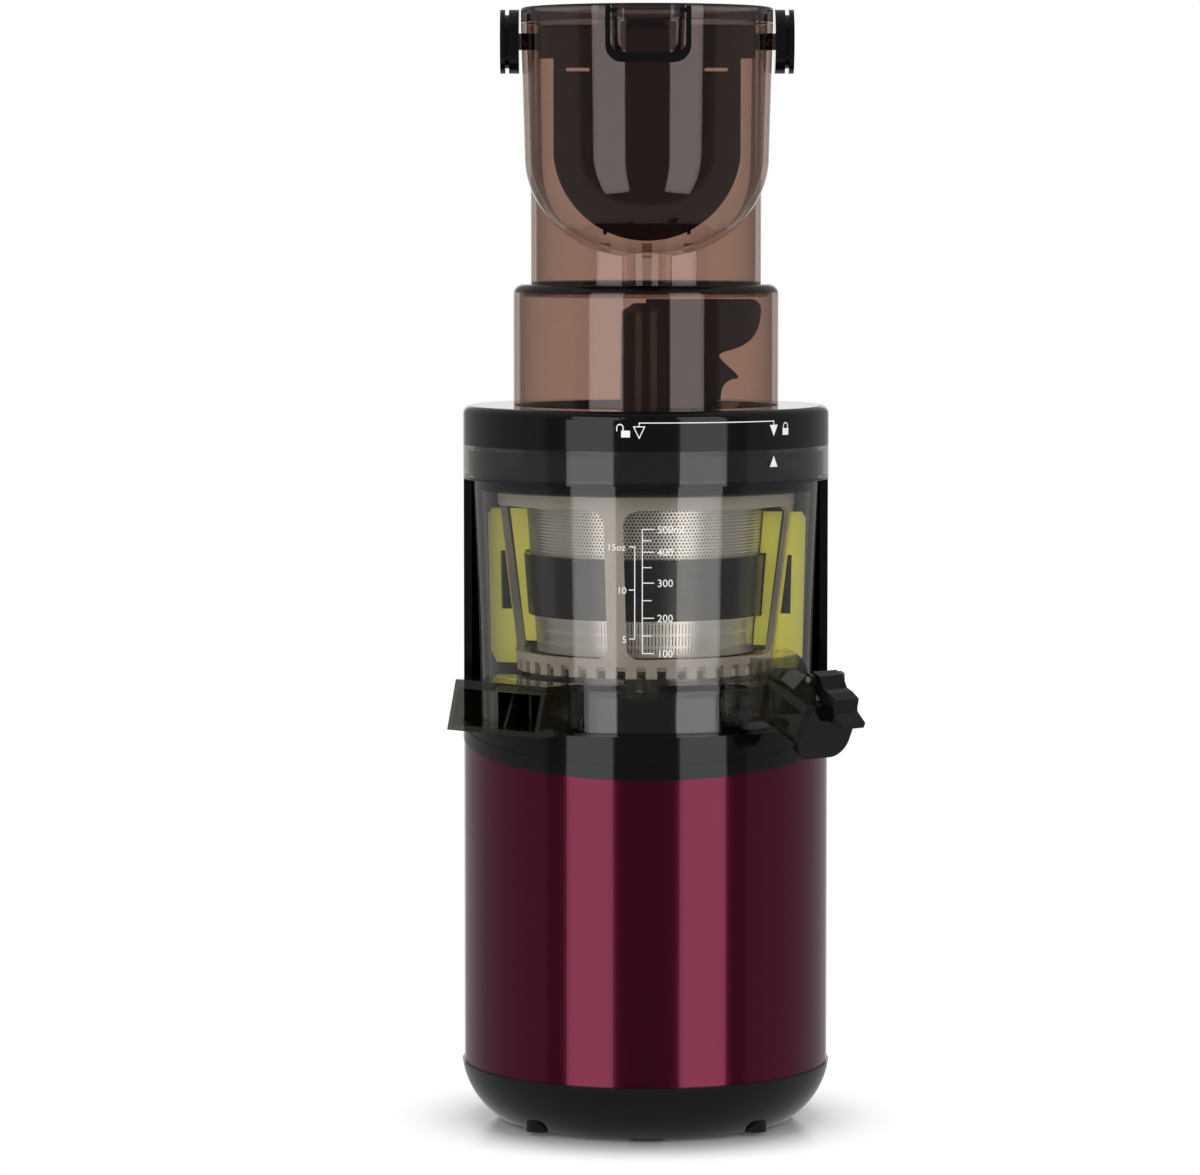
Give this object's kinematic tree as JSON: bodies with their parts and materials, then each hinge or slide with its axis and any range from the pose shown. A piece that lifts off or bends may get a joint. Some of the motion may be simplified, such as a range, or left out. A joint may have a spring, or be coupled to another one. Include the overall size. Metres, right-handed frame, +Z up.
{
  "type": "cold press juicer",
  "caption": "Upright slow juicer: motor base with planetary gearbox, lift-off clear bowl with strainer, rotating brush and auger, bayonet lid with hopper, gate and hinged feed lid.",
  "frame": {"origin": "on the drive axis at counter level, under the feet", "axes": "+Z up, -Y the front with both spouts, +X to the right seen from the front"},
  "size_m": [0.1979, 0.2344, 0.5413],
  "materials": {
    "rubber_feet": "soft matt rubber",
    "black_gloss": "gloss black ABS",
    "burgundy_paint": "metallic burgundy paint under clear lacquer",
    "zinc_steel": "zinc plated",
    "black_matt": "fine textured",
    "board_green": "solder mask",
    "capacitor_sleeve": "shrink sleeve",
    "cast_alloy": "die cast",
    "lamination_steel": "stacked laminations",
    "copper_wire": "enamelled copper wire",
    "bearing_steel": "ground",
    "gear_steel": "hobbed",
    "gear_nylon": "moulded nylon",
    "seal_silicone": "soft silicone",
    "smoky_clear": "clear tinted co-polyester",
    "yellow_silicone": "soft yellow-green silicone",
    "dark_amber_plastic": "tough moulded plastic",
    "perforated_steel": "fine perforated stainless steel",
    "frame_grey": "translucent beige-grey plastic",
    "auger_plastic": "tough moulded plastic",
    "smoky_brown": "clear smoky brown co-polyester",
    "smoky_dark": "dark clear plastic"
  },
  "bodies": {
    "base": {"feet": "rubber_feet", "bottom_cover": "black_gloss", "base_shell": "burgundy_paint", "trim_ring": "black_gloss", "upper_housing": "black_gloss", "carry_handle": "black_gloss", "handle_screws": "zinc_steel", "tie_bolts": "zinc_steel", "cord_gland": "rubber_feet", "switch_housing": "black_matt", "circuit_board": "board_green", "capacitor": "capacitor_sleeve", "lid_sensor": "black_matt", "motor_case": "zinc_steel", "motor_end_cover": "cast_alloy", "stator_core": "lamination_steel", "stator_windings": "copper_wire", "motor_bearings": "bearing_steel", "gearbox_housing": "cast_alloy", "ring_gear": "gear_steel", "gearbox_cover": "cast_alloy", "output_bearing": "bearing_steel", "shaft_seal": "seal_silicone"},
    "power_switch": {"rocker_switch": "black_matt"},
    "rotor": {"rotor_shaft": "bearing_steel", "rotor_core": "lamination_steel", "motor_fan": "black_matt", "drive_pinion": "gear_steel"},
    "drive": {"planet_carrier": "gear_steel", "drive_shaft": "bearing_steel"},
    "planet_1": {"planet_gear_1": "gear_nylon"},
    "planet_2": {"planet_gear_2": "gear_nylon"},
    "planet_3": {"planet_gear_3": "gear_nylon"},
    "bowl": {"juicing_bowl": "smoky_clear", "hub_seal": "seal_silicone", "cap_pin": "bearing_steel", "strainer_base": "dark_amber_plastic", "strainer_screen": "perforated_steel", "strainer_band": "dark_amber_plastic", "strainer_rim": "dark_amber_plastic"},
    "spout_cap": {"juice_cap": "black_gloss", "juice_plug": "yellow_silicone"},
    "idler_1": {"idler_gear_1": "gear_nylon"},
    "idler_2": {"idler_gear_2": "gear_nylon"},
    "brush": {"brush_frame": "frame_grey", "outer_wipers": "yellow_silicone", "inner_wipers": "yellow_silicone"},
    "screw": {"auger": "auger_plastic", "auger_sleeve": "bearing_steel", "auger_gear": "gear_nylon"},
    "lid": {"lid_ring": "black_gloss", "lid_magnet": "bearing_steel", "lid_neck": "smoky_brown", "lid_seal": "seal_silicone", "hopper": "smoky_brown", "lid_hinge_pin": "bearing_steel"},
    "top_lid": {"feed_lid": "smoky_brown"},
    "clip": {"latch_clip": "black_gloss"},
    "gate": {"swing_gate": "smoky_dark", "pivot_caps": "black_gloss"}
  },
  "joints": [
    {"name": "bowl_lift", "type": "slide", "parent": "base", "child": "bowl", "axis": [0, 0, 1], "range_m": [0, 0.12]},
    {"name": "drive_spin", "type": "hinge", "parent": "base", "child": "drive", "pos_m": [0, 0, 0.19], "axis": [0, 0, 1], "continuous": true},
    {"name": "rotor_spin", "type": "hinge", "parent": "base", "child": "rotor", "pos_m": [0, 0, 0.1], "axis": [0, 0, 1], "continuous": true},
    {"name": "screw_spin", "type": "hinge", "parent": "bowl", "child": "screw", "pos_m": [0, 0, 0.25], "axis": [0, 0, 1], "continuous": true},
    {"name": "brush_spin", "type": "hinge", "parent": "bowl", "child": "brush", "pos_m": [0, 0, 0.26], "axis": [0, 0, 1], "continuous": true},
    {"name": "planet_spin_1", "type": "hinge", "parent": "drive", "child": "planet_1", "pos_m": [0.01875, 0, 0.154], "axis": [0, 0, 1], "continuous": true},
    {"name": "planet_spin_2", "type": "hinge", "parent": "drive", "child": "planet_2", "pos_m": [-0.00937, 0.01624, 0.154], "axis": [0, 0, 1], "continuous": true},
    {"name": "planet_spin_3", "type": "hinge", "parent": "drive", "child": "planet_3", "pos_m": [-0.00938, -0.01624, 0.154], "axis": [0, 0, 1], "continuous": true},
    {"name": "idler_spin_1", "type": "hinge", "parent": "bowl", "child": "idler_1", "pos_m": [0.03072, -0.02864, 0.2235], "axis": [0, 0, 1], "continuous": true},
    {"name": "idler_spin_2", "type": "hinge", "parent": "bowl", "child": "idler_2", "pos_m": [-0.03072, 0.02864, 0.2235], "axis": [0, 0, 1], "continuous": true},
    {"name": "lid_turn", "type": "hinge", "parent": "bowl", "child": "lid", "pos_m": [0, 0, 0.34], "axis": [0, 0, 1], "range_deg": [0, 46]},
    {"name": "feed_lid_hinge", "type": "hinge", "parent": "lid", "child": "top_lid", "pos_m": [0, 0.061, 0.5377], "axis": [-1, 0, 0], "range_deg": [0, 100]},
    {"name": "latch_clip_hinge", "type": "hinge", "parent": "top_lid", "child": "clip", "pos_m": [0, -0.1054, 0.5377], "axis": [-1, 0, 0], "range_deg": [0, 70]},
    {"name": "gate_swing", "type": "hinge", "parent": "lid", "child": "gate", "pos_m": [0, -0.042, 0.5252], "axis": [1, 0, 0], "range_deg": [-16, 30]},
    {"name": "juice_cap_hinge", "type": "hinge", "parent": "bowl", "child": "spout_cap", "pos_m": [0.08353, -0.09277, 0.22507], "axis": [-0.7431, -0.6691, 0], "range_deg": [0, 100]},
    {"name": "switch_rock", "type": "hinge", "parent": "base", "child": "power_switch", "pos_m": [0, 0.088, 0.06], "axis": [1, 0, 0], "range_deg": [-10, 10]}
  ],
  "couplings": [
    {"joint": "rotor_spin", "follows": "drive_spin", "ratio": 5},
    {"joint": "screw_spin", "follows": "drive_spin", "ratio": 1},
    {"joint": "brush_spin", "follows": "drive_spin", "ratio": -0.4},
    {"joint": "planet_spin_1", "follows": "drive_spin", "ratio": -2.6667},
    {"joint": "planet_spin_2", "follows": "drive_spin", "ratio": -2.6667},
    {"joint": "planet_spin_3", "follows": "drive_spin", "ratio": -2.6667},
    {"joint": "idler_spin_1", "follows": "drive_spin", "ratio": -1.3333},
    {"joint": "idler_spin_2", "follows": "drive_spin", "ratio": -1.3333}
  ]
}
